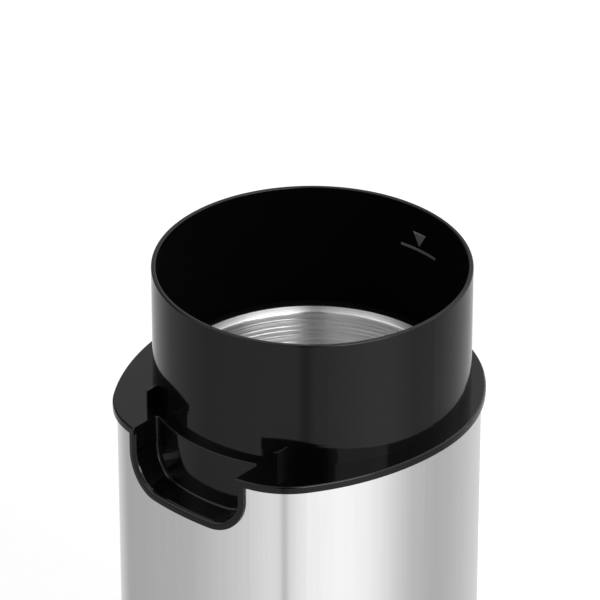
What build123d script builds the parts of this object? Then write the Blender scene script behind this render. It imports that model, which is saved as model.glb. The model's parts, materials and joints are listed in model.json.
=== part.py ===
from build123d import *
from math import cos, hypot, pi, radians, sin

# Electric coffee grinder, base unit with its lid off. A moulded top housing with a tall collar and a
# U-shaped finger pocket sits on a brushed steel sleeve. Inside are the steel bowl with its blade, the
# motor that hangs under the bowl, and the switch that the lid works through a slot in the deck.
# Millimetres, +Z up, the table at Z = 0, the finger pocket facing -Y.

# Body plan, from the drive axis: a back half circle, two side arcs and a front arc
deck_margin = 4.5
deck_front = 9.6
back_y = -1.0
side_r = 68.0
front_r = 85.0
corner_r = 22.5

# Top housing
deck_z = 130.0
lip_t = 2.0
lip_round = 0.5
lip_overhang = 1.2
collar_r = 42.0
collar_wall = 1.25
collar_h = 35.2
rim_round = 0.4
seat_step = 0.12
seat_over_rib = 0.3
rib_x = 22.6
rib_t = 0.9
rib_h = 5.1
rib_round = 0.2
rib_reach = 3.9
skirt_h = 12.0
skirt_wall = 1.5
ledge_t = 1.8
ledge_w = 2.5

# Finger pocket
pocket_half_w = 17.8
pocket_depth = 15.8
pocket_corner_r = 8.2
pocket_back_gap = 2.3
pocket_wall = 1.6
pocket_in_round = 0.6
pocket_top_round = 0.3
bezel_w = 2.3
bezel_back = 0.4
bezel_round = 1.0

# Steel sleeve and base pan
sleeve_t = 0.6
fit_gap = 0.15
foot_h = 3.0
pan_rim_h = 12.5
pan_floor_t = 2.5
pan_wall = 2.0
pan_round = 1.5
upstand_h = 8.0
foot_r = 6.0
foot_plug_r = 3.0
front_foot_out = 1.9
front_foot_angle = 43.0
rear_foot_in = 7.2
rear_foot_angle = 39.0
vent_w = 2.4
vent_l = 22.0
vent_pitch = 5.5
vent_count = 7

# Cord inlet, at the back of the base pan
cord_bore_r = 3.3
gland_wall = 0.9
gland_flange_r = 5.0
gland_flange_t = 1.3
gland_sink = 0.4
gland_lift = 0.4
gland_inside = 2.2

# Grinding bowl and the gland that clamps it
bowl_drop = 0.2
bowl_rim_w = 3.6
bowl_depth = 37.8
bowl_corner_r = 14.0
bowl_sheet = 0.7
bowl_bend_r = 1.5
bowl_flange_gap = 0.25
gasket_t = 0.8
gasket_w = 0.9
gland_r = 6.8
gland_head_r = 9.0
gland_head_t = 1.5
gland_nut_r = 11.0
gland_nut_h = 3.5
seal_r = 5.0
seal_h = 2.4

# Motor carrier
well_gap = 0.4
well_wall = 2.0
well_floor_t = 2.4
post_in = 8.75
post_angle = 32.0
post_r = 3.5
post_foot_r = 4.2
post_base_h = 4.0
screw_r = 1.5
screw_head_r = 3.0
screw_head_h = 2.4
screw_grip = 20.0
ear_out = 4.9
ear_angle = 39.0
ear_r = 2.8
ear_t = 4.0
ear_drop = 14.0
ear_root = 0.8
mount_in = 9.75
mount_r = 4.0
lug_edge = 1.0
boss_h = 3.0
rubber_t = 4.0

# Motor
shaft_r = 2.5
run_gap = 0.05
press_gap = 0.03
air_gap = 0.6
shaft_floor_gap = 10.1
stator_gap = 0.8
stator_corner_r = 8.0
yoke_x = 4.0
yoke_y = 7.0
shoe_gap = 0.1
pole_shoe_t = 2.2
pole_neck_w = 15.0
pole_shoe_w = 27.0
slot_count = 12
tooth_w = 2.25
core_back = 3.5
slot_mouth = 1.4
tooth_tip = 1.4
winding_over = 4.6
winding_lap = 0.6
coil_over = 5.0
coil_w = 5.3
coil_gap = 0.2
coil_edge = 3.0
bracket_t = 2.5
bracket_bar_w = 12.0
leg_in = 4.0
hub_r = 7.5
bushing_r = 4.5
hub_h = 7.6
washer_t = 0.7
play = 0.1
commutator_r = 8.0
commutator_h = 10.0
commutator_clear = 6.4
segment_groove = 0.5
fan_gap = 0.7
fan_h = 5.0
fan_hub_r = 5.0
fan_blade_count = 7
fan_blade_t = 1.0
fan_blade_pitch = 40.0
fan_clear = 6.0
bolt_r = 1.75
bolt_in = 7.5
bolt_edge = 2.5
bolt_head_r = 3.0
bolt_head_h = 2.4
shaft_tail = 3.0
brush_size = 5.0
brush_l = 9.0
brush_slack = 0.1
holder_x_in = 10.0
holder_x_out = 24.0
holder_w = 10.0
holder_wall = 1.6
brush_spring_wire_r = 0.3
brush_spring_turns = 4
cutout_size = (5.0, 10.0, 3.0)
case_round = 0.8

# Blade
hub_lift = 0.5
blade_hub_r = 6.0
blade_hub_h = 4.0
blade_t = 1.2
blade_clear = 7.2
blade_bevel = 0.7
blade_flat = 8.0
blade_rise = 4.6
blade_root_w = 12.0
blade_tip_w = 8.0
blade_nut_r = 4.5
blade_nut_h = 3.8
nut_cap = 1.0
stud_r = 2.0

# Lid interlock
pusher_t = 1.3
pusher_w = 9.0
tongue_w = 6.0
tongue_sink = 0.6
slot_gap = 0.2
guide_gap = 0.4
guide_t = 1.2
pusher_foot_t = 2.0
pusher_foot_drop = 3.0
foot_edge = 0.4
shelf_t = 2.0
shelf_w = 5.4
shelf_in = 0.4
ring_w = 1.5
switch_l = 20.0
switch_w = 6.4
switch_h = 10.0
switch_wall_gap = 1.7
switch_front = -14.0
lever_w = 3.4
lever_t = 0.4
lever_run = 16.2
lever_rise = 4.6
lever_gap = 0.3
pivot_r = 0.6
pivot_in = 1.3
pivot_lift = 1.3
pivot_cap = 0.8
ear_block = 2.6
plunger_r = 0.9
plunger_at = 6.5
plunger_depth = 4.0
plunger_travel = 0.9
spring_r = 1.9
spring_wire_r = 0.3
spring_turns = 6
spring_end_gap = 0.05
spring_clear = 0.8
terminal_size = (3.6, 0.8, 6.0)
terminal_pitch = 6.0
terminal_in = 0.8
terminal_up = 2.0
capacitor_size = (26.0, 9.0, 15.0)
capacitor_gap = 3.7

# Heights and places that follow from the sizes above
back_r = collar_r + deck_margin
front_y = -(collar_r + deck_front)
axis_y = -(front_y + back_y + back_r) / 2
rim_z = deck_z + collar_h
lip_z = deck_z - lip_t
collar_in_r = collar_r - collar_wall
seat_r = collar_r + seat_step
pocket_back_r = collar_r + pocket_back_gap
seat_top = deck_z + rib_h + seat_over_rib
sleeve_inset = lip_overhang
skirt_inset = sleeve_inset + sleeve_t + fit_gap
pan_floor_z = foot_h + pan_floor_t
sleeve_z = foot_h + pan_rim_h
bowl_rim_z = deck_z - bowl_drop
bowl_floor_z = bowl_rim_z - bowl_depth
bowl_r = collar_in_r - bowl_rim_w
bowl_out_r = bowl_r + bowl_sheet
bowl_flange_r = collar_in_r - bowl_flange_gap
ledge_top = bowl_rim_z - bowl_sheet - gasket_t
ledge_z = ledge_top - ledge_t
ledge_r = collar_in_r - ledge_w
well_floor_top = bowl_floor_z - bowl_sheet
carrier_z = well_floor_top - well_floor_t
well_r = bowl_out_r + well_gap
well_out_r = well_r + well_wall
well_top = ledge_z - well_gap
nut_z = carrier_z - gland_nut_h
boss_z = carrier_z - boss_h
upper_plate_top = boss_z - rubber_t
upper_plate_z = upper_plate_top - bracket_t
upper_hub_top = nut_z - 4 * play
upper_hub_z = upper_hub_top - hub_h
fan_top = upper_hub_z - washer_t - 2 * play
fan_z = fan_top - fan_h
stator_top = fan_z - fan_clear
shaft_z = pan_floor_z + shaft_floor_gap
lower_hub_z = shaft_z + shaft_tail
lower_hub_top = lower_hub_z + hub_h
lower_plate_top = lower_hub_top - bracket_t
lower_plate_z = lower_plate_top - bracket_t
commutator_z = lower_hub_top + washer_t + 2 * play
stator_z = commutator_z + commutator_h + commutator_clear
stack_h = stator_top - stator_z
blade_hub_z = bowl_floor_z + gland_head_t + hub_lift
blade_z = blade_hub_z + blade_hub_h
blade_nut_z = blade_z + blade_t
shaft_top = blade_nut_z + blade_nut_h - nut_cap
post_z = pan_floor_z + post_base_h
pusher_x = -(back_r - sleeve_inset - sleeve_t - guide_gap - fit_gap)
pusher_foot_z = carrier_z - pusher_foot_drop
lever_tip_z = pusher_foot_z - lever_gap - lever_t / 2
pivot_z = lever_tip_z - lever_rise
switch_top = pivot_z - pivot_lift
shelf_top = switch_top - switch_h
switch_x = -(back_r - sleeve_inset - sleeve_t - switch_wall_gap - switch_w / 2)
shelf_x = switch_x + shelf_in
pivot_y = switch_front + pivot_in
spring_y = switch_front + switch_l + spring_r + spring_wire_r + spring_clear


def spot(radius, angle):
    """A place in plan, at a radius from the drive axis and an angle in degrees from +X."""
    return radius * cos(radians(angle)), radius * sin(radians(angle))


# Places in plan: posts, feet, ears and motor mounts round the drive axis, then the motor's own widths
post_ring_r = back_r - post_in
post_x, post_y = spot(post_ring_r, post_angle)
post_spots = [(sx * post_x, sy * post_y) for sx in (-1, 1) for sy in (-1, 1)]
front_feet = [spot(collar_r + front_foot_out, -90 + side * front_foot_angle) for side in (-1, 1)]
rear_feet = [spot(collar_r - rear_foot_in, 90 - side * rear_foot_angle) for side in (-1, 1)]
foot_spots = front_feet + rear_feet
ear_spots = [spot(collar_r + ear_out, -90 + side * ear_angle) for side in (-1, 1)]
mount_pcd_r = post_ring_r - mount_in
mount_spots = [spot(mount_pcd_r, angle) for angle in (90, 210, 330)]
bolt_y = mount_pcd_r - bolt_in
bolt_spots = [(0, -bolt_y), (0, bolt_y)]
stator_x = 2 * (post_x - post_foot_r - stator_gap)
stator_y = 2 * (bolt_y + bolt_edge)
leg_y_in = bolt_y - leg_in
fan_r = leg_y_in - fan_gap
window_x = stator_x / 2 - yoke_x
coil_x = window_x - coil_gap - coil_w
coil_span = stator_y - 2 * (yoke_y + coil_edge)
shoe_r = coil_x - shoe_gap
armature_r = shoe_r - pole_shoe_t - air_gap
slot_in_r = shaft_r + core_back
slot_out_r = armature_r - tooth_tip
slot_w = pi * (slot_in_r + slot_out_r) / slot_count - tooth_w
winding_in_r = slot_in_r - winding_lap
blade_reach = bowl_r - blade_clear

front = Plane(origin=(0, axis_y, 0), x_dir=(1, 0, 0), z_dir=(0, -1, 0))
right = Plane(origin=(0, axis_y, 0), x_dir=(0, 1, 0), z_dir=(1, 0, 0))
drive_axis = Axis((0, axis_y, 0), (0, 0, 1))


def level(z):
    """The horizontal plane at height z, centred on the drive axis."""
    return Plane((0, axis_y, z))


def outline(inset):
    """Plan of the body, drawn in from the lip by inset."""
    with BuildSketch() as plan:
        with Locations((0, front_y + front_r)):
            Circle(front_r - inset)
        for side in (-1, 1):
            with Locations((side * (back_r - side_r), back_y)):
                Circle(side_r - inset, mode=Mode.INTERSECT)
        with Locations((0, back_y)):
            Rectangle(4 * front_r, 4 * front_r, align=(Align.CENTER, Align.MIN), mode=Mode.SUBTRACT)
            Circle(back_r - inset)
        fillet(plan.vertices().group_by(Axis.Y)[0], corner_r - inset)
    return plan.sketch


def pocket_profile(grow):
    """Front view of the finger pocket, open at the deck, grown outwards by grow."""
    with BuildSketch() as profile:
        with Locations((0, deck_z - pocket_depth - grow)):
            Rectangle(2 * (pocket_half_w + grow), 2 * pocket_depth, align=(Align.CENTER, Align.MIN))
        fillet(profile.vertices().group_by(Axis.Y)[0], pocket_corner_r + grow)
    return profile.sketch


def cup_plug(radius, bottom, top, corner):
    """A round plug with a rounded bottom edge, the shape of a cup's inside or outside."""
    with BuildPart() as plug:
        with BuildSketch(front) as half:
            with Locations((0, bottom)):
                Rectangle(radius, top - bottom, align=(Align.MIN, Align.MIN))
            fillet(half.vertices().sort_by_distance((radius, bottom, 0))[0], corner)
        revolve(axis=drive_axis)
    return plug.part


def link(spot_a, r_a, spot_b, r_b):
    """Plan of an arm: two discs and the straight sides that touch both."""
    with BuildSketch() as arm:
        with Locations(spot_a):
            Circle(r_a)
        with Locations(spot_b):
            Circle(r_b)
        make_hull()
    return arm.sketch


def coil(radius, wire_r, turns, length):
    """A compression spring along +Z from the origin, its wire ends inside the length."""
    lift = wire_r + spring_end_gap
    rise = length - 2 * lift
    with BuildPart() as wire:
        with BuildLine(Plane.XY.offset(lift)):
            path = Helix(rise / turns, rise, radius)
        with BuildSketch(Plane(path @ 0, z_dir=path % 0)):
            Circle(wire_r)
        sweep(path=path, is_frenet=True)
    return wire.part


# Finger pocket: its space, the trough behind the sleeve, and the bezel with its rounded mouth
def plan_r(edge, y):
    """Distance in plan from the middle of an edge to a point on the pocket's centre line."""
    middle = edge @ 0.5
    return hypot(middle.X, middle.Y - axis_y - y)


with BuildPart() as pocket_space:
    with BuildSketch(level(deck_z - pocket_depth)):
        Rectangle(4 * back_r, 4 * back_r)
        Circle(pocket_back_r, mode=Mode.SUBTRACT)
    extrude(amount=2 * pocket_depth)
    with BuildSketch(front):
        add(pocket_profile(0))
    extrude(amount=2 * back_r, mode=Mode.INTERSECT)
    back_edges = pocket_space.edges().filter_by(lambda edge: abs(plan_r(edge, 0) - pocket_back_r) < fit_gap)
    fillet(back_edges.sort_by(Axis.Z)[:-1], pocket_in_round)

with BuildPart() as trough:
    with BuildSketch(level(deck_z - pocket_depth - bezel_w)):
        add(outline(2 * sleeve_inset - fit_gap))
        Circle(pocket_back_r - pocket_wall, mode=Mode.SUBTRACT)
    extrude(amount=pocket_depth + bezel_w - lip_t)
    with BuildSketch(front):
        add(pocket_profile(pocket_wall))
    extrude(amount=2 * back_r, mode=Mode.INTERSECT)

with BuildPart() as sleeve_room:
    with BuildSketch(level(deck_z - pocket_depth - bezel_w)):
        add(outline(sleeve_inset - fit_gap))
    extrude(amount=pocket_depth + bezel_w - lip_t)
    with BuildSketch(front):
        add(pocket_profile(pocket_wall))
    extrude(amount=2 * back_r, mode=Mode.SUBTRACT)

with BuildPart() as bezel:
    with BuildSketch(level(deck_z - pocket_depth - bezel_w)):
        add(outline(bezel_back))
        add(outline(2 * sleeve_inset), mode=Mode.SUBTRACT)
    extrude(amount=pocket_depth + bezel_w - lip_t)
    add(pocket_space.part, mode=Mode.SUBTRACT)
    arc_y = front_y + front_r
    arc_r = front_r - bezel_back
    face_edges = bezel.edges().filter_by(lambda edge: abs(plan_r(edge, arc_y) - arc_r) < fit_gap)
    mouth_low = deck_z - pocket_depth - bezel_w / 2
    fillet(face_edges.filter_by(lambda edge: mouth_low < (edge @ 0.5).Z < lip_z - fit_gap), bezel_round)
    with BuildSketch(front):
        add(pocket_profile(bezel_w))
    extrude(amount=2 * back_r, mode=Mode.INTERSECT)
    add(sleeve_room.part, mode=Mode.SUBTRACT)

# Top housing: deck with its lip, skirt, pocket, collar, bowl ledge, ribs and screw bosses
with BuildPart() as top_housing:
    with BuildSketch(level(lip_z)):
        add(outline(0))
    extrude(amount=lip_t)
    fillet(top_housing.edges().group_by(Axis.Z)[-1], lip_round)
    with BuildSketch(level(lip_z - skirt_h)):
        add(outline(skirt_inset))
        add(outline(skirt_inset + skirt_wall), mode=Mode.SUBTRACT)
    extrude(amount=skirt_h)
    add(trough.part)
    add(bezel.part)
    with BuildSketch(level(lip_z - ear_drop + lip_t)):
        with Locations(*ear_spots):
            Circle(ear_r)
    extrude(amount=ear_drop - lip_t)
    with BuildSketch(level(ledge_z)):
        Circle(seat_r)
    extrude(amount=deck_z - ledge_z)
    with Locations(level(deck_z)):
        Cone(seat_r, collar_r, seat_top - deck_z, align=(Align.CENTER, Align.CENTER, Align.MIN))
    with BuildSketch(level(seat_top)):
        Circle(collar_r)
    extrude(amount=rim_z - seat_top)
    with BuildSketch(level(deck_z)):
        with Locations((-rib_x, 0), (rib_x, 0)):
            Rectangle(rib_t, collar_r + rib_reach, align=(Align.CENTER, Align.MAX))
        Circle(hypot(rib_x, (collar_r**2 - rib_x**2) ** 0.5 + rib_reach), mode=Mode.INTERSECT)
    extrude(amount=rib_h)
    rib_edges = top_housing.edges().filter_by_position(Axis.Z, deck_z + rib_h - play, deck_z + rib_h + play)
    fillet(rib_edges.filter_by(lambda edge: plan_r(edge, 0) > collar_r + rib_t), rib_round)
    with BuildSketch(level(ledge_top)):
        Circle(collar_in_r)
    extrude(amount=rim_z - ledge_top, mode=Mode.SUBTRACT)
    with BuildSketch(level(ledge_z)):
        Circle(ledge_r)
    extrude(amount=ledge_t, mode=Mode.SUBTRACT)
    add(pocket_space.part, mode=Mode.SUBTRACT)
    deck_edges = top_housing.edges().filter_by_position(Axis.Z, deck_z - play, deck_z + play)
    strip_edges = deck_edges.filter_by(lambda edge: abs(plan_r(edge, 0) - pocket_back_r) < fit_gap)
    fillet(strip_edges, pocket_top_round)
    fillet(top_housing.edges().group_by(Axis.Z)[-1], rim_round)
    with BuildSketch(level(lip_z - ear_drop + lip_t)):
        with Locations(*ear_spots):
            Circle(screw_r + run_gap)
    extrude(amount=ear_drop - lip_t, mode=Mode.SUBTRACT)
    with BuildSketch(level(lip_z)):
        with Locations((pusher_x - slot_gap, back_y)):
            Rectangle(pusher_t + 2 * slot_gap, tongue_w + 2 * slot_gap, align=(Align.MIN, Align.CENTER))
    extrude(amount=lip_t, mode=Mode.SUBTRACT)
    with BuildSketch(level(lip_z - skirt_h)):
        with Locations((-back_r, back_y)):
            Rectangle(back_r - seat_r - slot_gap, pusher_w + 2 * slot_gap, align=(Align.MIN, Align.CENTER))
    extrude(amount=skirt_h, mode=Mode.SUBTRACT)
top_housing.part.label = "top_housing"
export_step(top_housing.part, "parts/top_housing.step")

# Steel sleeve, open at both ends, with the pocket's cut-out
with BuildPart() as body_sleeve:
    with BuildSketch(level(sleeve_z)):
        add(outline(sleeve_inset))
        add(outline(sleeve_inset + sleeve_t), mode=Mode.SUBTRACT)
    extrude(amount=lip_z - sleeve_z)
    with BuildSketch(front):
        add(pocket_profile(pocket_wall + fit_gap))
    extrude(amount=2 * back_r, mode=Mode.SUBTRACT)
body_sleeve.part.label = "body_sleeve"
export_step(body_sleeve.part, "parts/body_sleeve.step")

# Base pan: floor with vents, rim under the sleeve, upstand inside it, screw bosses and cord inlet
gland_z = pan_floor_z + cord_bore_r + gland_wall + gland_lift
gland_y = back_y + back_r - sleeve_inset - gland_sink
gland_face = Plane((0, axis_y + gland_y, 0), x_dir=(1, 0, 0), z_dir=(0, -1, 0))
with BuildPart() as base_pan:
    with BuildSketch(level(foot_h)):
        add(outline(sleeve_inset))
    extrude(amount=pan_rim_h)
    fillet(base_pan.edges().group_by(Axis.Z)[0], pan_round)
    with BuildSketch(level(pan_floor_z)):
        add(outline(skirt_inset))
    extrude(amount=sleeve_z + upstand_h - pan_floor_z)
    with BuildSketch(level(pan_floor_z)):
        add(outline(skirt_inset + pan_wall))
    extrude(amount=pan_rim_h + upstand_h, mode=Mode.SUBTRACT)
    with BuildSketch(level(pan_floor_z)):
        with Locations(*post_spots):
            Circle(post_foot_r + pan_wall / 2)
    extrude(amount=post_base_h)
    with BuildSketch(level(foot_h)):
        with Locations(*post_spots):
            Circle(screw_r + fit_gap)
    extrude(amount=pan_floor_t + post_base_h, mode=Mode.SUBTRACT)
    with BuildSketch(level(foot_h)):
        with Locations(*post_spots):
            Circle(screw_head_r + fit_gap)
    extrude(amount=pan_floor_t + post_base_h / 2, mode=Mode.SUBTRACT)
    with BuildSketch(level(foot_h)):
        with Locations(*foot_spots):
            Circle(foot_plug_r + run_gap)
        with GridLocations(0, vent_pitch, 1, vent_count):
            SlotOverall(vent_l, vent_w)
    extrude(amount=pan_floor_t, mode=Mode.SUBTRACT)
    with BuildSketch(front):
        with Locations((0, gland_z)):
            Circle(cord_bore_r + gland_wall + run_gap)
    extrude(amount=-2 * back_r, mode=Mode.SUBTRACT)
    with BuildSketch(gland_face):
        with Locations((0, gland_z)):
            Circle(gland_flange_r + run_gap)
    extrude(amount=-gland_flange_t, mode=Mode.SUBTRACT)
base_pan.part.label = "base_pan"
export_step(base_pan.part, "parts/base_pan.step")

# Rubber feet with plugs into the pan
with BuildPart() as rubber_feet:
    with BuildSketch(level(0)):
        with Locations(*foot_spots):
            Circle(foot_r)
    extrude(amount=foot_h)
    fillet(rubber_feet.edges().group_by(Axis.Z)[0], foot_h / 4)
    with BuildSketch(level(foot_h)):
        with Locations(*foot_spots):
            Circle(foot_plug_r)
    extrude(amount=pan_floor_t)
rubber_feet.part.label = "rubber_feet"
export_step(rubber_feet.part, "parts/rubber_feet.step")

# Screws up through the pan into the carrier's posts
head_z = pan_floor_z + post_base_h / 2 - screw_head_h
with BuildPart() as base_screws:
    with BuildSketch(level(head_z)):
        with Locations(*post_spots):
            Circle(screw_head_r)
    extrude(amount=screw_head_h)
    with BuildSketch(level(head_z + screw_head_h)):
        with Locations(*post_spots):
            Circle(screw_r)
    extrude(amount=post_base_h / 2 + screw_grip)
    with BuildSketch(level(head_z)):
        with Locations(*post_spots):
            Rectangle(screw_head_r, screw_head_r / 4)
            Rectangle(screw_head_r / 4, screw_head_r)
    extrude(amount=screw_head_h / 2, mode=Mode.SUBTRACT)
base_screws.part.label = "base_screws"
export_step(base_screws.part, "parts/base_screws.step")

# Cord gland: a flanged bush clipped into the pan's back wall
with BuildPart() as cord_gland:
    with BuildSketch(gland_face):
        with Locations((0, gland_z)):
            Circle(gland_flange_r)
    extrude(amount=-gland_flange_t)
    with BuildSketch(gland_face):
        with Locations((0, gland_z)):
            Circle(cord_bore_r + gland_wall)
    extrude(amount=pan_wall + gland_inside)
    with BuildSketch(gland_face):
        with Locations((0, gland_z)):
            Circle(cord_bore_r)
    extrude(amount=2 * back_r, both=True, mode=Mode.SUBTRACT)
cord_gland.part.label = "cord_gland"
export_step(cord_gland.part, "parts/cord_gland.step")

# Grinding bowl: a deep-drawn cup with a flange that bends out under the collar
with BuildPart() as grinding_bowl:
    add(cup_plug(bowl_out_r, well_floor_top, bowl_rim_z, bowl_corner_r + bowl_sheet))
    with BuildSketch(level(bowl_rim_z - bowl_sheet)):
        Circle(bowl_flange_r)
    extrude(amount=bowl_sheet)
    bend = grinding_bowl.edges().filter_by(GeomType.CIRCLE).filter_by(
        lambda e: abs(e.radius - bowl_out_r) < 0.01 and abs(e.center().Z - bowl_rim_z + bowl_sheet) < 0.01)
    fillet(bend, bowl_bend_r - bowl_sheet)
    add(cup_plug(bowl_r, bowl_floor_z, rim_z, bowl_corner_r), mode=Mode.SUBTRACT)
    mouth = grinding_bowl.edges().filter_by(GeomType.CIRCLE).filter_by(
        lambda e: abs(e.radius - bowl_r) < 0.01 and abs(e.center().Z - bowl_rim_z) < 0.01)
    fillet(mouth, bowl_bend_r)
    with BuildSketch(level(well_floor_top)):
        Circle(gland_r + run_gap)
    extrude(amount=bowl_sheet, mode=Mode.SUBTRACT)
grinding_bowl.part.label = "grinding_bowl"
export_step(grinding_bowl.part, "parts/grinding_bowl.step")

# Gasket between the bowl's flange and the housing's ledge
with BuildPart() as bowl_gasket:
    with BuildSketch(level(ledge_top)):
        Circle(bowl_flange_r)
        Circle(bowl_flange_r - gasket_w, mode=Mode.SUBTRACT)
    extrude(amount=gasket_t)
bowl_gasket.part.label = "bowl_gasket"
export_step(bowl_gasket.part, "parts/bowl_gasket.step")

# Bowl gland: a headed bush that clamps the bowl to the carrier and carries the shaft seal
with BuildPart() as bowl_gland:
    with BuildSketch(level(bowl_floor_z)):
        Circle(gland_head_r)
    extrude(amount=gland_head_t)
    fillet(bowl_gland.edges().group_by(Axis.Z)[-1], gland_head_t / 3)
    with BuildSketch(level(nut_z)):
        Circle(gland_r)
    extrude(amount=bowl_floor_z - nut_z)
    with BuildSketch(level(nut_z)):
        Circle(shaft_r + 4 * run_gap)
    extrude(amount=bowl_floor_z + gland_head_t - nut_z, mode=Mode.SUBTRACT)
    with BuildSketch(level(bowl_floor_z + gland_head_t - seal_h)):
        Circle(seal_r)
    extrude(amount=seal_h, mode=Mode.SUBTRACT)
bowl_gland.part.label = "bowl_gland"
export_step(bowl_gland.part, "parts/bowl_gland.step")

with BuildPart() as gland_nut:
    with BuildSketch(level(nut_z)):
        RegularPolygon(gland_nut_r, 6)
        Circle(gland_r + run_gap, mode=Mode.SUBTRACT)
    extrude(amount=gland_nut_h)
gland_nut.part.label = "gland_nut"
export_step(gland_nut.part, "parts/gland_nut.step")

with BuildPart() as shaft_seal:
    with BuildSketch(level(bowl_floor_z + gland_head_t - seal_h)):
        Circle(seal_r - run_gap)
        Circle(shaft_r + run_gap, mode=Mode.SUBTRACT)
    extrude(amount=seal_h)
shaft_seal.part.label = "shaft_seal"
export_step(shaft_seal.part, "parts/shaft_seal.step")

# Motor carrier: a moulded well round the bowl, with posts to the base and bosses for the motor
guide_y = pusher_w / 2 + slot_gap
with BuildPart() as motor_carrier:
    add(cup_plug(well_out_r, carrier_z, well_top, bowl_corner_r + bowl_sheet + well_gap + well_wall))
    with BuildSketch(level(post_z)):
        with Locations(*post_spots):
            Circle(post_r)
    extrude(amount=well_floor_top + bowl_corner_r - post_z)
    with BuildSketch(level(post_z)):
        with Locations(*post_spots):
            Circle(post_foot_r)
    extrude(amount=shelf_top - shelf_t - post_z)
    with BuildSketch(level(boss_z)):
        with Locations(*mount_spots):
            Circle(mount_r)
    extrude(amount=boss_h + 2 * well_floor_t)
    with BuildSketch(level(lip_z - ear_drop + lip_t - ear_t)):
        for x, y in ear_spots:
            add(link((x, y), ear_r, (x * ear_root, y * ear_root), ear_r))
    extrude(amount=ear_t)
    with BuildSketch(level(well_floor_top + bowl_corner_r)):
        with Locations((0, back_y - guide_y), (0, back_y + guide_y + guide_t)):
            Rectangle(-pusher_x - guide_gap, guide_t, align=(Align.MAX, Align.MAX))
    extrude(amount=lip_z - skirt_h - guide_gap - well_floor_top - bowl_corner_r)
    cavity = cup_plug(well_r, well_floor_top, rim_z, bowl_corner_r + bowl_sheet + well_gap)
    add(cavity, mode=Mode.SUBTRACT)
    with BuildSketch(level(carrier_z)):
        Circle(gland_r + run_gap)
    extrude(amount=well_floor_t, mode=Mode.SUBTRACT)
    with BuildSketch(level(post_z)):
        with Locations(*post_spots):
            Circle(screw_r + run_gap)
    extrude(amount=screw_grip + screw_r, mode=Mode.SUBTRACT)
    with BuildSketch(level(boss_z)):
        with Locations(*mount_spots):
            Circle(bolt_r + run_gap)
    extrude(amount=boss_h, mode=Mode.SUBTRACT)
    with BuildSketch(level(lip_z - ear_drop + lip_t - ear_t)):
        with Locations(*ear_spots):
            Circle(screw_r + fit_gap)
    extrude(amount=ear_t, mode=Mode.SUBTRACT)
motor_carrier.part.label = "motor_carrier"
export_step(motor_carrier.part, "parts/motor_carrier.step")

ear_z = lip_z - ear_drop + lip_t - ear_t
with BuildPart() as housing_screws:
    with BuildSketch(level(ear_z - screw_head_h)):
        with Locations(*ear_spots):
            Circle(ear_r)
    extrude(amount=screw_head_h)
    with BuildSketch(level(ear_z)):
        with Locations(*ear_spots):
            Circle(screw_r)
    extrude(amount=ear_t + ear_drop - 2 * lip_t)
housing_screws.part.label = "housing_screws"
export_step(housing_screws.part, "parts/housing_screws.step")

# Rubber mounts between the carrier's bosses and the motor, and their screws
with BuildPart() as motor_mounts:
    with BuildSketch(level(upper_plate_top)):
        with Locations(*mount_spots):
            Circle(mount_r)
            Circle(bolt_r + fit_gap, mode=Mode.SUBTRACT)
    extrude(amount=rubber_t)
motor_mounts.part.label = "motor_mounts"
export_step(motor_mounts.part, "parts/motor_mounts.step")

with BuildPart() as mount_screws:
    with BuildSketch(level(upper_plate_z - bolt_head_h)):
        with Locations(*mount_spots):
            Circle(bolt_head_r)
    extrude(amount=bolt_head_h)
    with BuildSketch(level(upper_plate_z)):
        with Locations(*mount_spots):
            Circle(bolt_r)
    extrude(amount=bracket_t + rubber_t + boss_h - play)
mount_screws.part.label = "mount_screws"
export_step(mount_screws.part, "parts/mount_screws.step")

# Motor brackets: plates with a bearing hub and two legs onto the stator
with BuildPart() as upper_bracket:
    with BuildSketch(level(upper_plate_z)):
        with Locations(*mount_spots):
            Circle(mount_r + lug_edge)
        make_hull()
        Rectangle(bracket_bar_w, stator_y)
    extrude(amount=bracket_t)
    with BuildSketch(level(upper_hub_z)):
        Circle(hub_r)
    extrude(amount=hub_h)
    with BuildSketch(level(stator_top)):
        with Locations((0, (leg_y_in + stator_y / 2) / 2), (0, -(leg_y_in + stator_y / 2) / 2)):
            Rectangle(bracket_bar_w, stator_y / 2 - leg_y_in)
    extrude(amount=upper_plate_z - stator_top)
    with BuildSketch(level(stator_top)):
        Circle(bushing_r + press_gap)
        with Locations(*bolt_spots):
            Circle(bolt_r + run_gap)
        with Locations(*mount_spots):
            Circle(bolt_r + fit_gap)
    extrude(amount=upper_hub_top - stator_top, mode=Mode.SUBTRACT)
upper_bracket.part.label = "upper_bracket"
export_step(upper_bracket.part, "parts/upper_bracket.step")

with BuildPart() as lower_bracket:
    with BuildSketch(level(lower_plate_z)):
        Rectangle(bracket_bar_w, stator_y)
        Rectangle(2 * holder_x_out, holder_w)
        Circle(leg_y_in)
    extrude(amount=bracket_t)
    with BuildSketch(level(lower_hub_z)):
        Circle(hub_r)
    extrude(amount=hub_h)
    with BuildSketch(level(lower_plate_top)):
        with Locations((0, (leg_y_in + stator_y / 2) / 2), (0, -(leg_y_in + stator_y / 2) / 2)):
            Rectangle(bracket_bar_w, stator_y / 2 - leg_y_in)
    extrude(amount=stator_z - lower_plate_top)
    with BuildSketch(level(lower_hub_z)):
        Circle(bushing_r + press_gap)
        with Locations(*bolt_spots):
            Circle(bolt_r + run_gap)
    extrude(amount=stator_z - lower_hub_z, mode=Mode.SUBTRACT)
lower_bracket.part.label = "lower_bracket"
export_step(lower_bracket.part, "parts/lower_bracket.step")

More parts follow.
